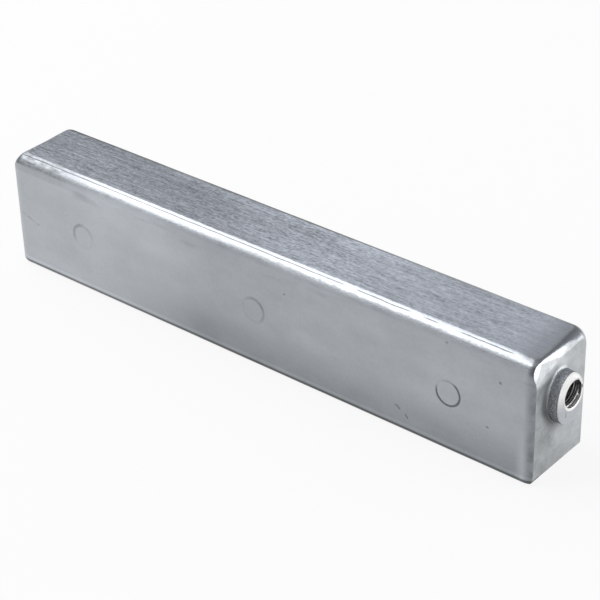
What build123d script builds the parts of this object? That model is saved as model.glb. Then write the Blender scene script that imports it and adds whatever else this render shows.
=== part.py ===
from build123d import *
import os

# A bar anode, which hangs between the two stern brackets of an outboard motor and corrodes in their place.
# The bar is one zinc casting. A steel bush is cast into each end and stands a little proud of it, so that
# bare steel touches the bracket, and its tapped hole takes the screw that holds the bar.
#
# Frame: +X runs along the bar, +Z is up and the side with the mould's plug marks faces -Y. The origin is the
# middle of the flat face that the bar lies on.

# Zinc casting
bar_length = 200.0
bar_width = 27.3
bar_height = 39.2
upright_corner_radius = 5.2  # as cast
top_edge_radius = 5.0  # all round the top
bottom_edge_radius = 1.5
top_dressing = 0.12  # taken off the top, which leaves a faint crease beside each rounded edge
dressed_edge_radius = 1.7  # where the flat face of an end meets the bottom

# The ends are cast a little askew and too long, then dressed flat and square, which cuts into the rounded
# corners. This much comes off each, at the marked side and at the side away from it.
right_end_dressing = 2.7, 0.2
left_end_dressing = 1.2, 1.0

# Each end is dressed once more at a tilt: how far below the top this starts, and its depth at the top
right_end_facet = 2.9, 0.85
left_end_facet = 5.1, 2.95

# Seam of the mould, a hair line along the rounded top edge of the marked side
seam_angle = 65.0  # how far round the edge it lies, from the side of the bar
seam_width = 0.36
seam_end_gap = 7.0  # from the end of the line to the end of the bar

# Ring marks of the plugs in the wall of the mould
plug_count = 3
plug_spacing = 70.5
plug_row_shift = 1.4  # the row is this far towards +X
plug_height = 19.4
plug_diameter = 8.2
plug_ring_width = 0.4
plug_ring_depth = 0.25

# Steel bush, a bar with flat flanks and round ends, tapped off its centre
bush_stand = 3.8  # how far it stands out of the zinc
bush_across = 12.7
bush_tall = 16.8
bush_side_shift = 1.25  # from the tapped hole to the middle of the bush
bush_down_shift = 0.85
bush_rim_chamfer = 0.6
bush_root_chamfer = 1.0
anchor_land = 1.5  # steel between the end of the hole and the groove that the zinc fills
anchor_groove_width = 4.0
anchor_groove_depth = 1.8
anchor_head = 4.0  # behind the groove

# Collar of zinc that the casting leaves round the foot of each bush
collar_height = 0.8
collar_width = 1.4  # at its foot
collar_draft = 50.0

# Tapped hole for a 3/8 inch screw with 16 threads to the inch, bored to the crests of its thread
hole_height = 25.1  # axis above the bottom of the bar
thread_bore = 7.94
thread_depth = 24.0
lead_in_diameter = 8.3
lead_in_angle = 90.0
drill_point_height = 2.4

# Places along the bush, from the face of the zinc
anchor_groove_start = thread_depth + drill_point_height + anchor_land - bush_stand
bush_root = anchor_groove_start + anchor_groove_width + anchor_head


def bush_seat(side):
    """The face of the zinc at one end, centred on the tapped hole and facing out of the bar."""
    return Plane(origin=(side * bar_length / 2, 0, hole_height), x_dir=(0, side, 0), z_dir=(side, 0, 0))


def bush_outline(plane, growth=0.0):
    """The bush seen from its end, on a plane parallel to its seat and centred on the tapped hole."""
    with BuildSketch(plane) as outline:
        with Locations((-bush_side_shift, -bush_down_shift)):
            SlotOverall(bush_tall + 2 * growth, bush_across + 2 * growth, rotation=90)
    return outline.sketch


def bush_blank(side):
    """A bush before it is drilled. The zinc is cast round it."""
    seat = bush_seat(side)
    outward = Axis(seat.origin, seat.z_dir)
    with BuildPart() as blank:
        extrude(bush_outline(seat.offset(-bush_root)), amount=anchor_head)
        neck = bush_outline(seat.offset(anchor_head - bush_root), growth=-anchor_groove_depth)
        extrude(neck, amount=anchor_groove_width)
        extrude(bush_outline(seat.offset(-anchor_groove_start)), amount=anchor_groove_start + bush_stand)
        chamfer(blank.faces().sort_by(outward)[-1].edges(), bush_rim_chamfer)
        chamfer(blank.faces().sort_by(outward)[0].edges(), bush_root_chamfer)
    return blank.part


os.makedirs("parts", exist_ok=True)
blanks = {"right": bush_blank(1), "left": bush_blank(-1)}

# The casting, rounded all over by its mould, then dressed flat on its top and ends
with BuildPart() as anode_bar:
    with BuildSketch() as plan:
        Polygon(
            (-bar_length / 2 - left_end_dressing[0], -bar_width / 2),
            (bar_length / 2 + right_end_dressing[0], -bar_width / 2),
            (bar_length / 2 + right_end_dressing[1], bar_width / 2),
            (-bar_length / 2 - left_end_dressing[1], bar_width / 2),
            align=None,
        )
        fillet(plan.vertices(), upright_corner_radius)
    extrude(amount=bar_height + top_dressing)
    fillet(anode_bar.edges().group_by(Axis.Z)[-1], top_edge_radius)
    fillet(anode_bar.edges().group_by(Axis.Z)[0], bottom_edge_radius)
    with BuildSketch(Plane.XZ) as dressed_view:
        Polygon(
            (-bar_length / 2, 0),
            (bar_length / 2, 0),
            (bar_length / 2, bar_height - right_end_facet[0]),
            (bar_length / 2 - right_end_facet[1], bar_height),
            (-bar_length / 2 + left_end_facet[1], bar_height),
            (-bar_length / 2, bar_height - left_end_facet[0]),
            align=None,
        )
        fillet(dressed_view.vertices().group_by(Axis.Y)[0], dressed_edge_radius)
    extrude(amount=bar_width, both=True, mode=Mode.INTERSECT)

    for side, place in ((1, "right"), (-1, "left")):
        extrude(bush_outline(bush_seat(side), growth=collar_width), amount=collar_height, taper=collar_draft)
        add(blanks[place], mode=Mode.SUBTRACT)

    with BuildSketch(Plane.XZ.offset(bar_width / 2)):
        with Locations((plug_row_shift, plug_height)):
            with GridLocations(plug_spacing, 0, plug_count, 1):
                Circle(plug_diameter / 2)
                Circle(plug_diameter / 2 - plug_ring_width, mode=Mode.SUBTRACT)
    extrude(amount=-plug_ring_depth, mode=Mode.SUBTRACT)

    rounding_centre = Vector(-bar_width / 2 + top_edge_radius, bar_height + top_dressing - top_edge_radius)
    with BuildSketch(Plane.YZ):
        with Locations(rounding_centre):
            with PolarLocations(top_edge_radius, 1, start_angle=180 - seam_angle):
                Circle(seam_width / 2)
    extrude(amount=bar_length / 2 - seam_end_gap, both=True, mode=Mode.SUBTRACT)
anode_bar.part.label = "anode_bar"
export_step(anode_bar.part, "parts/anode_bar.step")

# The two bushes are alike, each turned to face out of its own end
for side, place in ((1, "right"), (-1, "left")):
    mouth = bush_seat(side).offset(bush_stand)
    with BuildPart() as threaded_bush:
        add(blanks[place])
        with Locations(mouth):
            CounterSinkHole(thread_bore / 2, lead_in_diameter / 2, thread_depth, lead_in_angle)
        with Locations(mouth.offset(-thread_depth - drill_point_height / 2)):
            Cone(0, thread_bore / 2, drill_point_height, mode=Mode.SUBTRACT)
    threaded_bush.part.label = f"threaded_bush_{place}"
    export_step(threaded_bush.part, f"parts/threaded_bush_{place}.step")
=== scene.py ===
import math

import bmesh
import bpy
import numpy as np
from mathutils import Matrix, Vector


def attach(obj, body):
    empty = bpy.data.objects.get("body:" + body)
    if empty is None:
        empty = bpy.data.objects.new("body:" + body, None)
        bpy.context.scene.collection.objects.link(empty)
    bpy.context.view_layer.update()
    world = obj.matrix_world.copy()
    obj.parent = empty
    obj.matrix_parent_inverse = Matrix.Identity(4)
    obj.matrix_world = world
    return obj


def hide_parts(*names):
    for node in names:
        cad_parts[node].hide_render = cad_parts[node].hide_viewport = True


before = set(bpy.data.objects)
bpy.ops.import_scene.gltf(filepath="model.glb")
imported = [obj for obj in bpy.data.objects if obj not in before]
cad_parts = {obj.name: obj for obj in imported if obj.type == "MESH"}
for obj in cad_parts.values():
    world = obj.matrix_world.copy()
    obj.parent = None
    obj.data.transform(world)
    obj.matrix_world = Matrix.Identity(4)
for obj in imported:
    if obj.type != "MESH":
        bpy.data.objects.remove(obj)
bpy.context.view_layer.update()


# ---------------------------------------------------------------------------------------------------------
# Zinc bar
# One gravity casting, soft-edged as it leaves the mould, with the mould's seam along the top edge and a ring
# where each plug closed its wall. The top and both ends are then dressed flat, and the top is brushed.
# ---------------------------------------------------------------------------------------------------------
mm = 0.001  # sizes are written in millimetres and scaled as the meshes are made
bar_length, bar_width, bar_height = 200.0, 27.3, 39.2
upright_corner_radius, top_edge_radius, bottom_edge_radius, dressed_edge_radius = 5.2, 5.0, 1.5, 2.1
top_dressing = 0.12
end_dressing = {1: (2.7, 0.2), -1: (1.2, 1.0)}  # off each end, at the marked side and at the other
# The right end's tilted facet, as depth per height and the height it starts at, and the left end's
facet_slope, facet_start = 0.42, 36.5
left_facet_height, left_facet_depth, left_facet_slant = 5.1, 2.95, 5.89
half_length, half_width = bar_length / 2, bar_width / 2
plug_places, plug_height, plug_radius = (-69.1, 1.4, 71.9), 19.4, 3.95
seam_angle = 65.0

# Each steel bush is an oval bar. The zinc is cast round it and climbs a little way up it.
hole_height = 25.1
bush_half_across, bush_half_tall, bush_lean = 6.3, 8.15, math.radians(4.9)
bush_middle = (-1.35, -0.75)  # from the tapped hole, sideways and up
collar_profile = [(1.2, 0.0), (0.95, 0.02), (0.74, 0.06), (0.56, 0.12), (0.4, 0.2), (0.27, 0.3), (0.16, 0.4),
                  (0.08, 0.48), (0.03, 0.52), (0.0, 0.5)]  # beyond the bush, and above the bar's end
# The bush's chamfered foot and its groove, likewise
root_profile = [(-1.0, -32.1), (0.0, -31.1), (0.0, -28.1), (-1.8, -28.1), (-1.8, -24.1), (0.0, -24.1)]


def lines(*stops):
    """Places of grid lines. Each stop is a place and the spacing from it to the next one."""
    out = [stops[0][0]]
    for (start, spacing), (stop, _) in zip(stops, stops[1:]):
        out += list(np.linspace(start, stop, max(1, math.ceil((stop - start) / spacing - 1e-6)) + 1)[1:])
    return np.array(out)


def outside_corner(first, second, cosine, radius):
    """How far points are outside a rounded corner of two planes, from how far they are outside each."""
    first, second = first + radius, second + radius
    on_round = (first > cosine * second) & (second > cosine * first)
    reach = np.sqrt(np.maximum(first**2 + second**2 - 2 * cosine * first * second, 0) / (1 - cosine**2))
    return np.where(on_round, reach, np.maximum(first, second)) - radius


def outside_casting(x, y, z):
    """How far points are outside the casting as it leaves the mould, its ends too long and a little askew."""
    side = np.sign(x + 1e-9)
    front, back = [np.where(side > 0, end_dressing[1][i], end_dressing[-1][i]) for i in (0, 1)]
    slope = (front - back) / bar_width
    past_end = (np.abs(x) - half_length - (front + back) / 2 + slope * y) / np.hypot(slope, 1)
    plan = outside_corner(past_end, np.abs(y) - half_width, np.sign(y) * slope / np.hypot(slope, 1),
                          upright_corner_radius)
    middle = (bar_height + top_dressing) / 2
    radius = np.where(z > middle, top_edge_radius, bottom_edge_radius)
    return outside_corner(plan, np.abs(z - middle) - middle, 0.0, radius)


def outside_dressing(x, y, z):
    """How far points are outside the dressed ends, each with its tilted facet and the right one's dubbed
    corner."""
    facet = facet_slope * (z - facet_start - 0.0002 * np.maximum(y + 1, 0) ** 4)
    upper_fold = facet_slope * (z - y - 45.5) / math.sqrt(2)
    lower_fold = 0.15 * (0.935 * (z - 32.3) - 0.354 * (y + 12.2))
    dubbed = np.maximum(upper_fold, lower_fold)
    right = x - half_length + np.maximum(np.maximum(facet, dubbed), 0)
    left = (left_facet_height * (-x - half_length)
            + left_facet_depth * (z - bar_height + left_facet_height)) / left_facet_slant
    left = np.maximum(-x - half_length, left - 0.4 * np.clip(y / 10, 0, 1))
    return outside_corner(np.maximum(right, left), -z, 0.0, dressed_edge_radius)


def outside_bar(points):
    """How far points are outside the bar: the casting, rounded all over, cut by the dressed top and ends."""
    x, y, z = points.T
    casting, end = outside_casting(x, y, z), outside_dressing(x, y, z)
    worn = 0.6 * np.clip((z - 36.5) / 1.5, 0, 1) * np.clip((y + 11) / 2, 0, 1) + 1e-6
    blend = np.maximum(worn - np.abs(casting - end), 0) ** 2 / worn / 4
    bar, top = np.maximum(casting, end) + blend, z - bar_height
    worn = 0.25 * np.clip((np.abs(x) - 92) / 4, 0, 1) + 1e-6
    return np.maximum(bar, top) + np.maximum(worn - np.abs(bar - top), 0) ** 2 / worn / 4


def onto_bar(points):
    """Points of the bar's bounding box, each drawn in to the bar's own surface."""
    inset = top_edge_radius + 0.1
    core = np.clip(points, [inset - half_length, inset - half_width, inset],
                   [half_length - inset, half_width - inset, bar_height - inset])
    near, far = np.zeros(len(points)), np.ones(len(points)) * 1.001
    for _ in range(32):
        half = (near + far) / 2
        inside = outside_bar(core + (points - core) * half[:, None]) < 0
        near, far = np.where(inside, half, near), np.where(inside, far, half)
    return core + (points - core) * near[:, None]


def bush_outline(angles, growth):
    """The bush's oval outline, or one beside it, as points at the given angles round the tapped hole."""
    across, tall = bush_half_across + growth, bush_half_tall + growth
    lean_u, lean_v = math.cos(bush_lean), math.sin(bush_lean)
    middle = (bush_middle[0] * lean_u + bush_middle[1] * lean_v) / across, (
        bush_middle[1] * lean_u - bush_middle[0] * lean_v) / tall
    ray = np.cos(angles - bush_lean) / across, np.sin(angles - bush_lean) / tall
    square, cross = ray[0] ** 2 + ray[1] ** 2, ray[0] * middle[0] + ray[1] * middle[1]
    reach = (cross + np.sqrt(cross**2 - square * (middle[0] ** 2 + middle[1] ** 2 - 1))) / square
    return np.stack([reach * np.cos(angles), reach * np.sin(angles)], axis=1)


def at_end(side, flat, outward):
    """Points at one end of the bar, from their place round the tapped hole and height above the zinc."""
    return np.stack([side * (half_length + outward) + 0 * flat[:, 0], side * flat[:, 0],
                     hole_height + flat[:, 1]], axis=1)


def wrap(first, second):
    """Quads between two closed rings of as many points each."""
    return [tuple(q) for q in np.stack([first, np.roll(first, -1), np.roll(second, -1), second], 1).tolist()]


def solid(name, points, faces, creases):
    """A closed, smooth piece from points in millimetres. An edge inside one of the creases stays sharp."""
    mesh = bpy.data.meshes.new(name)
    mesh.from_pydata((points * mm).tolist(), [], faces, shade_flat=False)
    form = bmesh.new()
    form.from_mesh(mesh)
    bmesh.ops.recalc_face_normals(form, faces=form.faces)
    if form.calc_volume(signed=True) < 0:
        bmesh.ops.reverse_faces(form, faces=form.faces)
    form.to_mesh(mesh)
    form.free()
    ends = np.zeros(len(mesh.edges) * 2, dtype=np.int32)
    mesh.edges.foreach_get("vertices", ends)
    first, second = ends.reshape(-1, 2).T
    sharp = np.any([crease[first] & crease[second] for crease in creases], axis=0)
    mesh.attributes.new("sharp_edge", "BOOLEAN", "EDGE").data.foreach_set("value", sharp)
    piece = bpy.data.objects.new(name, mesh)
    bpy.context.scene.collection.objects.link(piece)
    return piece


# The grid has a line on each crease between a dressed flat and a cast rounding, and is fine on roundings
top_crease = top_edge_radius - math.sqrt(top_edge_radius**2 - (top_edge_radius - top_dressing) ** 2)
end_creases = (-12.70, -11.73, 10.98, 11.57)
around_bush_y, around_bush_z = 10.4, (13.6, 34.9)
stops = [(-half_length, 0.3), (6.6 - half_length, 1.8)]
for place in plug_places:
    stops += [(place - 5.0, 0.25), (place + 5.0, 1.8)]
stops += [(half_length - 6.6, 0.3), (half_length, 0.3)]
grid = [
    lines(*stops),
    lines((-half_width, 0.3), (end_creases[0], 0.3), (end_creases[1], 0.3), (-around_bush_y, 0.3),
          (top_crease - half_width, 0.3), (5.4 - half_width, 0.6), (half_width - 5.4, 0.3),
          (half_width - top_crease, 0.3), (around_bush_y, 0.3), (end_creases[2], 0.3), (end_creases[3], 0.3),
          (half_width, 0.3)),
    lines((0.0, 0.2), (1.6, 1.5), (around_bush_z[0], 0.8), (plug_height - 5.0, 0.25),
          (plug_height + 5.0, 0.8), (bar_height - 5.4, 0.3), (around_bush_z[1], 0.3), (bar_height, 0.3)),
]

# A skin of quads over the six sides of the grid's box, left open round each bush
counts = [len(axis) for axis in grid]
index = np.indices(counts).reshape(3, -1).T
on_skin = np.any((index == 0) | (index == np.array(counts) - 1), axis=1)
number = np.full(counts, -1)
number[tuple(index[on_skin].T)] = np.arange(on_skin.sum())
points = np.stack([axis[i] for axis, i in zip(grid, index[on_skin].T)], axis=1)
is_open = (np.abs(points[:, 0]) > half_length - 1e-6) & (np.abs(points[:, 1]) < around_bush_y - 1e-6) & (
    points[:, 2] > around_bush_z[0] + 1e-6) & (points[:, 2] < around_bush_z[1] - 1e-6)
on_rim = (np.abs(points[:, 0]) > half_length - 1e-6) & ~is_open & (
    np.abs(points[:, 1]) < around_bush_y + 1e-6) & (
    points[:, 2] > around_bush_z[0] - 1e-6) & (points[:, 2] < around_bush_z[1] + 1e-6)
faces = []
for axis in range(3):
    for sheet in (np.take(number, 0, axis=axis), np.take(number, -1, axis=axis)):
        quads = np.stack([sheet[:-1, :-1], sheet[1:, :-1], sheet[1:, 1:], sheet[:-1, 1:]], axis=-1)
        quads = quads.reshape(-1, 4)
        faces += [tuple(q) for q in quads[~is_open[quads].any(axis=1)].tolist()]
points = onto_bar(points)

# Round each bush: flat zinc out to the opening, the collar, then the pocket that the bush fills
pocket_edges = []
for side, rim in [(side, np.flatnonzero(on_rim & (side * points[:, 0] > 0))) for side in (1, -1)]:
    flat = np.stack([side * points[rim, 1], points[rim, 2] - hole_height], axis=1)
    angles = np.arctan2(flat[:, 1], flat[:, 0])
    order = np.argsort(angles)
    ring, flat, angles = rim[order], flat[order], angles[order]
    foot = bush_outline(angles, collar_profile[0][0])
    profile = [(flat + (foot - flat) * t, 0.0) for t in (0.3, 0.55, 0.8)]
    profile += [(bush_outline(angles, growth), outward) for growth, outward in collar_profile]
    profile += [(bush_outline(angles, growth), outward) for growth, outward in root_profile[::-1]]
    for flat, outward in profile:
        new_ring = np.arange(len(ring)) + len(points)
        points = np.vstack([points, at_end(side, flat, outward)])
        faces += wrap(ring, new_ring)
        ring = new_ring
        if outward < 0 or outward == collar_profile[-1][1]:
            pocket_edges.append(new_ring)
    points = np.vstack([points, at_end(side, np.array([bush_middle]), root_profile[0][1])])
    faces += [(a, b, len(points) - 1) for a, b in zip(ring.tolist(), np.roll(ring, -1).tolist())]
creases = [np.isin(np.arange(len(points)), ring) for ring in pocket_edges]
used = np.unique([i for face in faces for i in face])
renumber = np.full(len(points), -1)
renumber[used] = np.arange(len(used))
faces = [tuple(renumber[list(f)].tolist()) for f in faces]
zinc_bar = solid("zinc_bar", points[used], faces, [crease[used] for crease in creases])


class Field:
    """An output of a node. An expression of fields and numbers adds the Math nodes that it needs."""

    def __init__(self, tree, node, output=0):
        self.tree, self.node, self.output = tree, node, output

    def __getitem__(self, output):
        return Field(self.tree, self.node, output)

    def math(self, operation, *values):
        return add(self.tree, "ShaderNodeMath", {"operation": operation}, dict(enumerate(values)))

    def __add__(self, other): return self.math("ADD", self, other)
    def __radd__(self, other): return self.math("ADD", other, self)
    def __sub__(self, other): return self.math("SUBTRACT", self, other)
    def __rsub__(self, other): return self.math("SUBTRACT", other, self)
    def __mul__(self, other): return self.math("MULTIPLY", self, other)
    def __rmul__(self, other): return self.math("MULTIPLY", other, self)
    def __truediv__(self, other): return self.math("DIVIDE", self, other)
    def __pow__(self, other): return self.math("POWER", self, other)
    def __neg__(self): return self.math("MULTIPLY", self, -1.0)
    def __abs__(self): return self.math("ABSOLUTE", self)
    def at_most(self, other): return self.math("MINIMUM", self, other)
    def at_least(self, other): return self.math("MAXIMUM", self, other)


def add(tree, kind, settings=None, sockets=None):
    """A new node: its settings first, then the value or the field for each of its input sockets."""
    node = tree.nodes.new(kind)
    for name, value in (settings or {}).items():
        setattr(node, name, value)
    for key, value in (sockets or {}).items():
        by_key = [s for s in node.inputs if key in (s.identifier, s.name)]
        socket = node.inputs[key] if isinstance(key, int) else by_key[0]
        if isinstance(value, Field):
            tree.links.new(value.node.outputs[value.output], socket)
        else:
            socket.default_value = value
    return Field(tree, node)


def vector(x, y, z):
    tree = next(value.tree for value in (x, y, z) if isinstance(value, Field))
    return add(tree, "ShaderNodeCombineXYZ", {}, {"X": x, "Y": y, "Z": z})


def noise(x, y, z, detail=2.0, rough=0.5):
    """Soft noise about 0, mostly within 0.3 either side. One unit of x, y or z is about one blotch."""
    field = add(x.tree, "ShaderNodeTexNoise", {"noise_dimensions": "3D"},
                {"Vector": vector(x, y, z), "Scale": 1.0, "Detail": detail, "Roughness": rough})
    return field - 0.5


def ramp(value, start, stop):
    """0 below start and 1 above stop, with a smooth rise between. It falls where stop is below start."""
    low, high = (0.0, 1.0) if start < stop else (1.0, 0.0)
    return add(value.tree, "ShaderNodeMapRange", {"interpolation_type": "SMOOTHSTEP"},
               {"Value": value, "From Min": min(start, stop), "From Max": max(start, stop),
                "To Min": low, "To Max": high})


def band(value, start, stop, soft):
    """1 from start to stop, falling to 0 over a soft border outside them."""
    return ramp(value, start - soft, start) * ramp(value, stop + soft, stop)


def stroke(u, v, start, stop, width):
    """1 on the line between two points, falling to 0 at width from it."""
    (u0, v0), (u1, v1) = start, stop
    length_squared = (u1 - u0) ** 2 + (v1 - v0) ** 2
    along = (((u - u0) * (u1 - u0) + (v - v0) * (v1 - v0)) / length_squared).at_least(0.0).at_most(1.0)
    off_u, off_v = u - u0 - along * (u1 - u0), v - v0 - along * (v1 - v0)
    return ramp(off_u * off_u + off_v * off_v, width**2, 0.0)


# Marks of the casting, each a field from 0 to 1 over the bar, read by its relief and by its material alike
marked_skin = (-13.2, -13.4)  # y from just inside the marked side to its face
top_skin = (39.13, 39.19)  # z from the last of the cast rounding to the dressed top


def plug_mark(x, z, place, wide, soft, shows):
    """A ring with a soft border, stronger on the sides named in shows as (angle, strength) pairs."""
    u, v = x - place, z - plug_height
    reach = (u * u + v * v) ** 0.5 + noise(x / 2.5, z / 2.5, 0 * x) * 0.35
    ring = band(reach, plug_radius - wide, plug_radius + wide, soft)
    weight = 0.0
    for angle, strength in shows:
        toward = (u * math.cos(math.radians(angle)) + v * math.sin(math.radians(angle))) / reach.at_least(0.1)
        weight = weight + ramp(toward, 0.3, 0.95) * strength
    return ring * (weight + 0.08).at_most(1.0)


def plug_marks(x, y, z):
    """The three rings of the marked side."""
    on_front = ramp(y, *marked_skin)
    sharpest = [(5, 0.9), (320, 0.8), (222, 1.0), (270, 0.3), (60, 0.3)]
    marks = [plug_mark(x, z, plug_places[0], 0.1, 0.75, [(150, 0.4), (60, 0.15)]),
             plug_mark(x, z, plug_places[1], 0.1, 0.7, [(70, 0.35), (0, 0.25)]),
             plug_mark(x, z, plug_places[2], 0.16, 0.34, sharpest)]
    return (marks[0] + marks[1] + marks[2]) * on_front


def long_edge(y, z):
    """How far round the top edge of the marked side a point is, in millimetres from the side face."""
    up, out = z - (bar_height + top_dressing - top_edge_radius), -y - (half_width - top_edge_radius)
    return up.at_least(0.0).math("ARCTAN2", up.at_least(0.0), out.at_least(0.001)) * top_edge_radius


def seam_line(x, y, z):
    """The mould's seam, a hair line along the top edge of the marked side, with gaps where it closed well."""
    way = long_edge(y, z) + noise(x / 6, 0 * x + 3.1, 0 * x) * 0.35
    centre = math.radians(seam_angle) * top_edge_radius
    shows = band(x, -95, 90, 2) * (1 - band(x, 34.5, 37, 2)) * (1 - band(x, 58, 61, 2)) * (
        1 - band(x, 67, 73, 2) * 0.8)
    return band(way, centre - 0.08, centre + 0.08, 0.16) * shows * ramp(z, 34.0, 35.0)


def pits(x, y, z):
    """Small pits and scratches of the marked side."""
    on_front = ramp(y, *marked_skin)
    marks = 0.0 * x
    for start, stop, width in [((88.9, 30.1), (89.2, 29.9), 0.45), ((13.5, 29.4), (13.7, 29.4), 0.4),
                               ((54, 8), (55.4, 7.2), 0.35), ((85, 14), (85.5, 13.8), 0.35),
                               ((57.5, 6), (58.2, 5.2), 0.35), ((71.3, 35.9), (71.9, 36.6), 0.5)]:
        marks = marks.at_least(stroke(x, z, start, stop, width))
    faint = stroke(x, z, (-96.5, 19), (-89.5, 16.6), 0.4) * ramp(noise(x / 1.5, z / 1.5, 0 * x), -0.2, 0.15)
    return marks.at_least(faint * 0.6) * on_front


def as_cast(x, y, z):
    """1 on the skin as it left the mould, 0 on the dressed top and ends."""
    return ramp(z, *top_skin[::-1]) * ramp(abs(x), 99.99, 99.9)


bar_relief = bpy.data.node_groups.new("casting relief", "GeometryNodeTree")
bar_relief.interface.new_socket("Geometry", in_out="OUTPUT", socket_type="NodeSocketGeometry")
# Depths of the relief, in millimetres
relief_sizes = {"Ring depth": 0.2, "Seam depth": 0.16, "Pit depth": 0.22, "Waviness": 0.07}
identifiers = {"Geometry": bar_relief.interface.new_socket(
    "Geometry", in_out="INPUT", socket_type="NodeSocketGeometry").identifier}
for size in relief_sizes:
    identifiers[size] = bar_relief.interface.new_socket(
        size, in_out="INPUT", socket_type="NodeSocketFloat").identifier
identifiers["Material"] = bar_relief.interface.new_socket(
    "Material", in_out="INPUT", socket_type="NodeSocketMaterial").identifier
asked = add(bar_relief, "NodeGroupInput")
place = add(bar_relief, "GeometryNodeInputPosition")
place = add(bar_relief, "ShaderNodeVectorMath", {"operation": "SCALE"}, {0: place, "Scale": 1 / mm})
place = add(bar_relief, "ShaderNodeSeparateXYZ", {}, {0: place})
x, y, z = place["X"], place["Y"], place["Z"]
wave = ramp(noise(x / 22, y / 9, z / 9, 1.0), -0.3, 0.3)
depth = (plug_marks(x, y, z) * asked["Ring depth"] + seam_line(x, y, z) * asked["Seam depth"]
         + pits(x, y, z) * asked["Pit depth"] + wave * as_cast(x, y, z) * asked["Waviness"])
normal = add(bar_relief, "GeometryNodeInputNormal")
offset = add(bar_relief, "ShaderNodeVectorMath", {"operation": "SCALE"}, {0: normal, "Scale": depth * -mm})
moved = add(bar_relief, "GeometryNodeSetPosition", {}, {"Geometry": asked["Geometry"], "Offset": offset})
real = add(bar_relief, "GeometryNodeRealizeInstances", {}, {"Geometry": moved})
ended = add(bar_relief, "GeometryNodeSetMaterial", {}, {"Geometry": real, "Material": asked["Material"]})
add(bar_relief, "NodeGroupOutput", {}, {0: ended})


def apply_tree(piece, tree, identifiers, values):
    """The piece's mesh as the tree makes it, with no modifier left on it."""
    modifier = piece.modifiers.new(tree.name, "NODES")
    modifier.node_group = tree
    for name, value in values.items():
        modifier[identifiers[name]] = value
    bpy.context.view_layer.update()
    made = bpy.data.meshes.new_from_object(piece.evaluated_get(bpy.context.evaluated_depsgraph_get()))
    piece.modifiers.remove(modifier)
    piece.data = made
    made.name = piece.name


def finish_of(name):
    """A metal material with its nodes still to come: the tree, its shader and place in millimetres."""
    material = bpy.data.materials.new(name)
    material.use_nodes = True
    tree = material.node_tree
    tree.nodes.clear()
    place = add(tree, "ShaderNodeTexCoord")["Object"]
    place = add(tree, "ShaderNodeVectorMath", {"operation": "SCALE"}, {0: place, "Scale": 1 / mm})
    place = add(tree, "ShaderNodeSeparateXYZ", {}, {0: place})
    return material, tree, place["X"], place["Y"], place["Z"]


def mix_colour(tree, factor, first, second, blend="MIX"):
    return add(tree, "ShaderNodeMix", {"data_type": "RGBA", "blend_type": blend, "clamp_factor": True},
               {"Factor_Float": factor, "A_Color": first, "B_Color": second})[2]


cast_zinc, tree, x, y, z = finish_of("cast_zinc")
top = ramp(z, *top_skin)
facing = add(tree, "ShaderNodeSeparateXYZ", {}, {0: add(tree, "ShaderNodeTexCoord")["Normal"]})
end = ramp(abs(facing["X"]), 0.8, 0.86) * ramp(abs(x), 90, 93) * (1 - top)  # an end's flat and its facets
cast = (1 - top) * (1 - end)
way = long_edge(y, z) + (z - (bar_height + top_dressing - top_edge_radius)).at_most(0.0)
on_side = ramp(y, -9.0, -9.7)
mottle = noise(x / 14, y / 8, z / 8, 4.0, 0.55)
cloud = noise(x / 40, y / 20, z / 14, 2.0)
patch = noise(x / 4.5, y / 3.5, z / 3.5, 3.0, 0.6)
grain = noise(x / 0.9, y / 0.9, z / 0.9, 3.0, 0.6)
speck = ramp(noise(x / 2.2, y / 2.2, z / 2.2, 2.0, 0.5), 0.2, 0.34)
streak = noise(x / 22, y / 0.9, z / 0.9, 4.0, 0.6)
short_streak = noise(x / 3.5, y / 0.7, z / 0.7, 4.0, 0.65)
fleck = noise(x / 1.1, y / 0.55, z / 0.55, 2.0, 0.5)
cast_tone = 1.0 + mottle * 0.25 + cloud * 0.25 + patch * 0.1 + grain * 0.15 - speck * 0.1
# Painted light and shade on the marked side: lighter high up about a quarter in from the left end, darker from
# the middle rightward below the top edge's highlight.
cast_tone = cast_tone + band(x, -58, -40, 14) * ramp(z, 12, 30) * 0.06 - (
    ramp(x, -42, -14) * on_side * ramp(way, 3.2, 2.2) * 0.12)
brushed = 1.05 - ramp(x, 15, 55) * 0.3 - ramp(x, 82, 96) * 0.5
brushed_tone = 0.66 + ramp(x, -45, 35) * 0.34 - ramp(x, 88, 98.5) * 0.28 + cloud * 0.25
brushed_tone = brushed_tone + band(y, 8.5, 9.8, 3.5) * band(x, -45, 40, 12) * (0.12 + patch * 0.3)
brushed_tone = brushed_tone * (1.0 + (streak * 1.1 + short_streak * 1.5 + fleck * 1.2 + patch * 0.3) * brushed)
bare_zinc_and_highlight = ramp(z, 31.0, 33.2) * ramp(y, 7, -5) * ramp(x, 90, 95)  # bare filed zinc, and a painted highlight on the right end's corner facet
# Painted light and shade on the end: lighter towards the back, darker near the bottom and low towards the
# marked side.
end_tone = 0.98 + ramp(y, -10, 8) * 0.12 - ramp(z, 8, 0) * 0.1 - ramp(y, 3, -10) * ramp(z, 27, 12) * 0.14
end_tone = (end_tone + mottle * 0.8 + patch * 0.5 + grain * 0.35) * (1 + bare_zinc_and_highlight * 0.72)
tone = cast_tone * (1 - top) * (1 - end) + brushed_tone * top + end_tone * end
# Painted shade: the marked side darker towards the bottom from about the middle rightward, for the shaded floor
# close by that it reflects.
painted_low_shade = ramp(z, 19, 2) * ramp(x, -60, -15) * ramp(x, 98, 94) * on_side * (
    0.33 + mottle * 0.4 + patch * 0.2)
# Painted shade on the bottom rounding of the marked side, for the floor's contact shadow it reflects, and a
# painted light line just above it.
foot = band(z, 0, 1.5, 0.4) * on_side * 0.64 - band(z, 2.3, 2.7, 0.4) * on_side * 0.16
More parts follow.
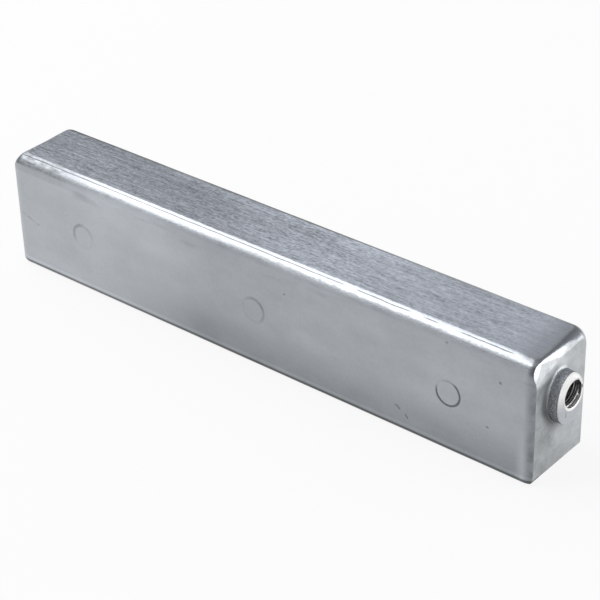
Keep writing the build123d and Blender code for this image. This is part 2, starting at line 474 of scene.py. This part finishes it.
# Painted highlight: the top edge's bright band made brighter from about a quarter in from the left end.
painted_edge_highlight = band(way, 4.5, 5.9, 0.7) * cast * ramp(x, -70, -50) * 0.14
# Painted shade along the lower border of the top edge's highlight, ragged, from the middle rightward.
painted_highlight_border = band(way + short_streak * 1.6 + fleck * 0.6, 3.5, 4.0, 0.4) * cast * ramp(x, -30, 20) * 0.3
# Painted reflection of a darker horizon: a band just under the top edge's highlight, near the left end.
painted_left_edge_shade = band(way, 0.6, 2.4, 1.0) * on_side * ramp(x, -66, -80) * 0.12
dull_start = ramp(x, -64, -84) * band(way, 2.6, 7.8, 0.6) * cast * (0.25 + short_streak * 1.4 + grain * 0.6)
# Painted shade in patches along the marked side just under the top edge, for the darker horizon it reflects.
painted_under_edge_shade = band(way, -0.5, 2.4, 2.5) * on_side * ramp(noise(x / 16, z / 4, 0 * x, 2.0), 0.0, 0.3) * 0.2
worn_light = band(way, 3.0, 6.8, 0.5) * cast * (short_streak * 0.6 + fleck * 0.5)
# Painted shade high on the cast rounding near the right end, for the dark it reflects.
painted_end_top_shade = ramp(x, 92, 95.5) * ramp(z, 38.2, 39.0) * cast * 0.26
# Painted shade, patchy, on the upright corner of the marked side at the right end, for the darker surroundings
# it reflects.
painted_corner_shade = ramp(x, 96.5, 99.4) * ramp(y, -10.2, -12.2) * cast * (1 + mottle * 2 + patch * 1.6)
dark = (plug_marks(x, y, z) * 0.66).at_least(seam_line(x, y, z) * 0.62).at_least(pits(x, y, z) * 0.5)
# Painted shade on the back top rounding, most over its left part, for the dark it reflects.
painted_far_edge_shade = ramp(y, 9.6, 10.2) * ramp(z, 37.4, 38.2) * cast * (1 - ramp(x, 10, 50) * 0.7)
shade = (1 - dark) * (1 - painted_corner_shade * 0.42) * (1 - painted_low_shade) * (1 - dull_start) * (1 - painted_under_edge_shade)
shade = shade * (1 - painted_left_edge_shade) * (1 - painted_highlight_border) * (1 - painted_end_top_shade) * (1 - painted_far_edge_shade * 0.8)
shade = shade * (1 + worn_light + painted_edge_highlight) * (1 - foot)
# Round each bush the zinc is darker, most of all low on the marked side: partly stain, partly painted shade
# from the bush.
u, v = y * x.math("SIGN", x) - bush_middle[0], z - hole_height - bush_middle[1]
from_bush = ((u / bush_half_across) ** 2 + (v / bush_half_tall) ** 2) ** 0.5
low_side = ramp(-u * 0.7 - v * 0.7, 0.5, 7.5)
stain_and_shade = ramp(from_bush, 1.5, 1.04) * ramp(abs(x), 98, 99) * (0.06 + low_side * 0.5 + patch * 0.6)
# Painted shade on the zinc collar round the bush, below its upper part.
painted_collar_shade = ramp(abs(x), 100.02, 100.12) * ramp(v, 6.0, 2.0)
tone = tone * shade * (1 - stain_and_shade.at_least(0.0)) * (1 - painted_collar_shade * 0.4)
zinc_colour = mix_colour(tree, end, (0.43, 0.452, 0.482, 1), (0.44, 0.456, 0.468, 1))
zinc_colour = mix_colour(tree, top, zinc_colour, (0.41, 0.435, 0.487, 1))
colour = mix_colour(tree, 1.0, zinc_colour, vector(tone, tone, tone), "MULTIPLY")
bump_height = grain * 0.03 * cast + (streak * 0.03 + short_streak * 0.05 + fleck * 0.02) * top + (
    mottle * 0.06 * cast + grain * 0.02 * end)
bump = add(tree, "ShaderNodeBump", {}, {"Strength": 1.0, "Distance": mm, "Height": bump_height})
end_roughness = 0.2 - bare_zinc_and_highlight * ramp(z - y * 0.38, 36.4, 37.4) * 0.24
roughness = 0.31 + top * 0.16 + end * end_roughness + mottle * 0.12 + dull_start * 0.3
shader = add(tree, "ShaderNodeBsdfPrincipled", {}, {
    "Base Color": colour, "Metallic": 1.0, "Roughness": roughness, "Normal": bump})
add(tree, "ShaderNodeOutputMaterial", {}, {"Surface": shader})

apply_tree(zinc_bar, bar_relief, identifiers, {**relief_sizes, "Material": cast_zinc})
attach(zinc_bar, "root")
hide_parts("anode_bar")


# ---------------------------------------------------------------------------------------------------------
# Tapped bushes
# A short bar of plain steel stands in each end of the mould while the zinc is poured round it. Its foot is
# grooved so that it can't pull out. Its end is rough-sawn and faced, then drilled and tapped 3/8-16.
# ---------------------------------------------------------------------------------------------------------
bush_stand, bush_depth_of_thread = 3.8, 24.0
thread_crest, thread_root, thread_pitch = 3.97, 4.7625, 1.5875
lead_in_radius, drill_point = 4.15, 2.4
points_round = 240
knurls_round = 54

angles = np.linspace(0, 2 * math.pi, points_round, endpoint=False)
circle = np.stack([np.cos(angles), np.sin(angles)], axis=1)
wall = [(0.0, outward) for outward in lines(
    (-24.1, 6.0), (-0.4, 0.35), (0.6, 0.12), (3.15, 1.0), (3.16, 1.0))]
rim_from, rim_height = 3.16, 0.58  # the rounded rim, above the zinc
rim = [(0.0, 3.2), (-0.04, 3.38), (-0.14, 3.54), (-0.28, 3.65), (-0.46, 3.72), (-0.62, 3.74)]
filed = 0.42 * np.clip(np.cos(angles - math.radians(105)), 0, 1) ** 1.2  # off the face at its upper rim
rings = [(bush_outline(angles, growth), outward) for growth, outward in root_profile[:-1] + wall]
rings += [(bush_outline(angles, growth), outward - filed * (outward - rim_from) / rim_height)
          for growth, outward in rim]
face_edge = np.linalg.norm(bush_outline(angles, rim[-1][0]), axis=1)[:, None]
mouth = np.minimum(thread_root + 0.2, face_edge - 0.12)
for t in (0.2, 0.4, 0.6, 0.8, 1.0):
    rings.append((circle * (face_edge + (mouth - face_edge) * t), bush_stand - (filed + 0.06) * (1 - t) ** 1.2))
bore_from = bush_stand - (lead_in_radius - thread_crest)
bore = lines((bush_stand - bush_depth_of_thread, 0.22), (bush_stand - 8, 0.13), (bore_from, 1))[::-1]
rings.append((circle * lead_in_radius, bush_stand))
rings += [(circle * thread_crest, outward) for outward in bore]
tip = bush_stand - bush_depth_of_thread - drill_point

thread = bpy.data.node_groups.new("tapped thread", "GeometryNodeTree")
thread.interface.new_socket("Geometry", in_out="OUTPUT", socket_type="NodeSocketGeometry")
thread_sizes = {"Side": 1.0, "Crest radius": thread_crest, "Root radius": thread_root, "Pitch": thread_pitch,
                "Knurl depth": 0.14, "Roughness": 0.09}
identifiers = {"Geometry": thread.interface.new_socket(
    "Geometry", in_out="INPUT", socket_type="NodeSocketGeometry").identifier}
for size in thread_sizes:
    identifiers[size] = thread.interface.new_socket(
        size, in_out="INPUT", socket_type="NodeSocketFloat").identifier
identifiers["Material"] = thread.interface.new_socket(
    "Material", in_out="INPUT", socket_type="NodeSocketMaterial").identifier
asked = add(thread, "NodeGroupInput")
place = add(thread, "GeometryNodeInputPosition")
place = add(thread, "ShaderNodeVectorMath", {"operation": "SCALE"}, {0: place, "Scale": 1 / mm})
place = add(thread, "ShaderNodeSeparateXYZ", {}, {0: place})
outward = place["X"] * asked["Side"] - half_length
u, v = place["Y"] * asked["Side"], place["Z"] - hole_height
reach = (u * u + v * v) ** 0.5
turn = u.math("ARCTAN2", v, u) / (2 * math.pi)
along = (outward / asked["Pitch"] - turn).math("WRAP", outward / asked["Pitch"] - turn, 0.5, -0.5)
flank_slope = math.tan(math.radians(30))
groove = ((asked["Root radius"] - asked["Crest radius"]) * flank_slope + asked["Pitch"] / 16
          - abs(along) * asked["Pitch"]) / flank_slope
groove = groove.at_least(0.0).at_most(asked["Root radius"] - asked["Crest radius"])
in_bore = ramp(reach, 4.3, 4.2) * ramp(outward, tip + 0.2, tip + 2.3)
# The thread fades out at the thin side of the rim, where at full depth it would break through
thin_lip = ramp(outward, 2.2, 3.0) * ramp((u * 0.98 + v * 0.2) / reach, 0.6, 0.85)
groove = groove * (1 - thin_lip)
widen = (reach.at_least(asked["Crest radius"] + groove) - reach) * in_bore / reach.at_least(0.5)
on_wall = ramp(reach, 4.9, 5.0).at_least(ramp(reach, 4.85, 4.9)) * ramp(outward, 0.3, 0.7) * ramp(
    outward, 3.3, 3.0)
girth = add(thread, "GeometryNodeInputNamedAttribute", {"data_type": "FLOAT"}, {"Name": "girth"})
girth = girth["Attribute"] * knurls_round
ridge = 0.0
for slope in (outward / 0.9, outward / -0.9):
    ridge = abs((girth + slope).math("WRAP", girth + slope, 0.5, -0.5)).at_least(ridge)
rough = ramp(noise(place["X"] / 0.5, place["Y"] / 0.5, place["Z"] / 0.5, 3.0), -0.3, 0.3)
sink = (ramp(ridge, 0.27, 0.5) * asked["Knurl depth"] + rough * asked["Roughness"]) * on_wall
normal = add(thread, "GeometryNodeInputNormal")
sunk = add(thread, "ShaderNodeVectorMath", {"operation": "SCALE"}, {0: normal, "Scale": -sink})
offset = vector(0.0, u * widen * asked["Side"], v * widen)
offset = add(thread, "ShaderNodeVectorMath", {"operation": "ADD"}, {0: offset, 1: sunk})
offset = add(thread, "ShaderNodeVectorMath", {"operation": "SCALE"}, {0: offset, "Scale": mm})
moved = add(thread, "GeometryNodeSetPosition", {}, {"Geometry": asked["Geometry"], "Offset": offset})
real = add(thread, "GeometryNodeRealizeInstances", {}, {"Geometry": moved})
ended = add(thread, "GeometryNodeSetMaterial", {}, {"Geometry": real, "Material": asked["Material"]})
add(thread, "NodeGroupOutput", {}, {0: ended})

plain_steel, tree, x, y, z = finish_of("plain_steel")
outward = abs(x) - half_length
u, v = y * x.math("SIGN", x), z - hole_height
reach = (u * u + v * v) ** 0.5
# Painted shade deep in the tapped hole.
painted_bore_shade = ramp(outward, 2.4, 0.6) * ramp(reach, 5.2, 4.9)
off_u, off_v = u - bush_middle[0], v - bush_middle[1]
across = (off_u * math.cos(bush_lean) + off_v * math.sin(bush_lean)) / bush_half_across
tall = (off_v * math.cos(bush_lean) - off_u * math.sin(bush_lean)) / bush_half_tall
side_wall = ramp((across * across + tall * tall) ** 0.5, 0.955, 0.985) * ramp(outward, 3.66, 3.2)
speck = noise(x / 0.5, y / 0.5, z / 0.5, 4.0, 0.6)
smear = noise(x / 0.6, (y - z) / 0.5, (y + z) / 3.0, 3.0, 0.6)
face = ramp(outward, 3.3, 3.5) * ramp(reach, 4.7, 4.9)
tone = 1.0 + speck * (0.3 + side_wall * 1.6) + smear * (face * 0.5 + side_wall * 1.3)
crack = stroke(u, v, (-3.75, -4.0), (-3.6, -5.5), 0.22) * ramp(outward, 3.4, 3.6)
# The side wall is dark steel, its own colour, less dark towards its top: painted light.
tone = tone * (1 - side_wall * (0.56 - ramp(v, 1.0, 6.0) * 0.36)) * (1 - painted_bore_shade * 0.72) * (1 - crack * 0.5)
# Painted shade: the lower part of the faced end darker, and bluish like the side wall's own dark steel.
tone = tone * (1 - face * ramp(v + off_u * 0.3, 3.0, -4.0) * 0.2)
dark_steel_and_face_shade = (face * ramp(v, 2.0, -3.0)).at_least(side_wall)
steel_colour = mix_colour(tree, dark_steel_and_face_shade, (0.84, 0.84, 0.83, 1), (0.56, 0.585, 0.62, 1))
colour = mix_colour(tree, 1.0, steel_colour, vector(tone, tone, tone), "MULTIPLY")
bump = add(tree, "ShaderNodeBump", {}, {"Strength": 1.0, "Distance": mm, "Height": speck * 0.03 - crack * 0.1})
shader = add(tree, "ShaderNodeBsdfPrincipled", {}, {
    "Base Color": colour, "Metallic": 1.0, "Roughness": 0.28 + side_wall * 0.2, "Normal": bump})
add(tree, "ShaderNodeOutputMaterial", {}, {"Surface": shader})

for side, end_name in ((1, "right"), (-1, "left")):
    points = np.vstack([at_end(side, np.array([bush_middle]), root_profile[0][1])]
                       + [at_end(side, flat, outward) for flat, outward in rings]
                       + [at_end(side, np.zeros((1, 2)), tip)])
    starts = [1 + points_round * i for i in range(len(rings))]
    ring_numbers = [start + np.arange(points_round) for start in starts]
    faces = [quad for a, b in zip(ring_numbers, ring_numbers[1:]) for quad in wrap(a, b)]
    for ring, apex in ((ring_numbers[0], 0), (ring_numbers[-1], len(points) - 1)):
        faces += [(a, b, apex) for a, b in zip(ring.tolist(), np.roll(ring, -1).tolist())]
    edges = list(range(len(root_profile) - 1)) + [len(rings) - 1]
    creases = [np.isin(np.arange(len(points)), ring_numbers[i]) for i in edges]
    bush = solid(f"tapped_bush_{end_name}", points, faces, creases)
    outline = bush_outline(angles, 0.0)
    steps = np.linalg.norm(np.roll(outline, -1, axis=0) - outline, axis=1)
    round_share = np.concatenate([[0.0], np.cumsum(steps)[:-1]]) / steps.sum()
    girth = np.concatenate([[0.0]] + [round_share] * len(rings) + [[0.0]])
    bush.data.attributes.new("girth", "FLOAT", "POINT").data.foreach_set("value", girth)
    apply_tree(bush, thread, identifiers, {**thread_sizes, "Side": float(side), "Material": plain_steel})
    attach(bush, "root")
    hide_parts(f"threaded_bush_{end_name}")


# ---------------------------------------------------------------------------------------------------------
# Studio
# A white floor, a large soft box on the left that draws the bright line along the top edge, dim cards in
# front and at the back for the faces, and a low one for the right end. The camera looks down on that end.
# ---------------------------------------------------------------------------------------------------------
scene = bpy.context.scene
scene.view_settings.view_transform = "Standard"

world = bpy.data.worlds.new("studio")
world.use_nodes = True
scene.world = world
tree = world.node_tree
tree.nodes.clear()
sky = add(tree, "ShaderNodeBackground", {}, {"Color": (0.95, 0.975, 1.0, 1), "Strength": 0.38})
add(tree, "ShaderNodeOutputWorld", {}, {"Surface": sky})

floor_mesh = bpy.data.meshes.new("floor")
floor_mesh.from_pydata([(-4, -4, 0), (4, -4, 0), (4, 4, 0), (-4, 4, 0)], [], [(0, 1, 2, 3)])
floor = bpy.data.objects.new("floor", floor_mesh)
scene.collection.objects.link(floor)
floor_paint = bpy.data.materials.new("white_floor")
floor_paint.use_nodes = True
tree = floor_paint.node_tree
tree.nodes.clear()
paint = add(tree, "ShaderNodeBsdfPrincipled", {}, {"Base Color": (0.95, 0.95, 0.95, 1), "Roughness": 0.9,
                                                   "Specular IOR Level": 0.1})
glow = add(tree, "ShaderNodeEmission", {}, {"Color": (1, 1, 1, 1), "Strength": 1.0})
ray = add(tree, "ShaderNodeLightPath")
seen = (ray["Is Camera Ray"] + ray["Is Glossy Ray"] + ray["Is Transmission Ray"]).at_most(1.0)
lit = add(tree, "ShaderNodeMixShader", {}, {0: seen * 0.88, 1: paint, 2: glow})
add(tree, "ShaderNodeOutputMaterial", {}, {"Surface": lit})
floor_mesh.materials.append(floor_paint)


def soft_box(name, place, toward, width, height, radiance):
    """An area light of even radiance, facing the point toward, with its width level."""
    data = bpy.data.lights.new(name, "AREA")
    data.shape, data.size, data.size_y = "RECTANGLE", width, height
    data.energy = radiance * math.pi * width * height
    light = bpy.data.objects.new(name, data)
    light.matrix_world = Matrix.Translation(place) @ (
        Vector(toward) - Vector(place)).to_track_quat("-Z", "Y").to_matrix().to_4x4()
    light.visible_camera = False
    scene.collection.objects.link(light)


soft_box("left_box", (-0.56, -0.15, 0.84), (0.0, 0.0, 0.02), 1.3, 0.68, 2.3)
soft_box("front_card", (-0.75, -0.95, 0.3), (0.0, 0.0, 0.1), 1.4, 0.6, 0.55)
soft_box("back_card", (-0.68, 0.87, 0.69), (0.0, 0.0, 0.02), 1.0, 0.5, 0.8)
soft_box("low_card", (0.49, 0.225, 0.09), (0.1, 0.0, 0.03), 0.8, 0.18, 2.3)

azimuth, elevation, roll = (math.radians(a) for a in (40.532, 31.910, -1.605))
camera_back, camera_right, camera_up = 601.118, 5.6686, 13.253  # from the origin, in millimetres
focal_pixels, image_pixels, sensor_width = 1977.52, 600, 36.0
back = Vector((math.sin(azimuth) * math.cos(elevation), -math.cos(azimuth) * math.cos(elevation),
               math.sin(elevation)))
level = Vector((math.cos(azimuth), math.sin(azimuth), 0))
upright = back.cross(level)
right = math.cos(roll) * level + math.sin(roll) * upright
up = math.cos(roll) * upright - math.sin(roll) * level
camera_data = bpy.data.cameras.new("camera")
camera_data.sensor_width = sensor_width
camera_data.lens = focal_pixels / image_pixels * sensor_width
camera_data.clip_start, camera_data.clip_end = 0.05, 20
camera = bpy.data.objects.new("camera", camera_data)
stand = (back * camera_back + right * camera_right + up * camera_up) * mm
camera.matrix_world = Matrix.Translation(stand) @ Matrix((right, up, back)).transposed().to_4x4()
scene.collection.objects.link(camera)
scene.camera = camera
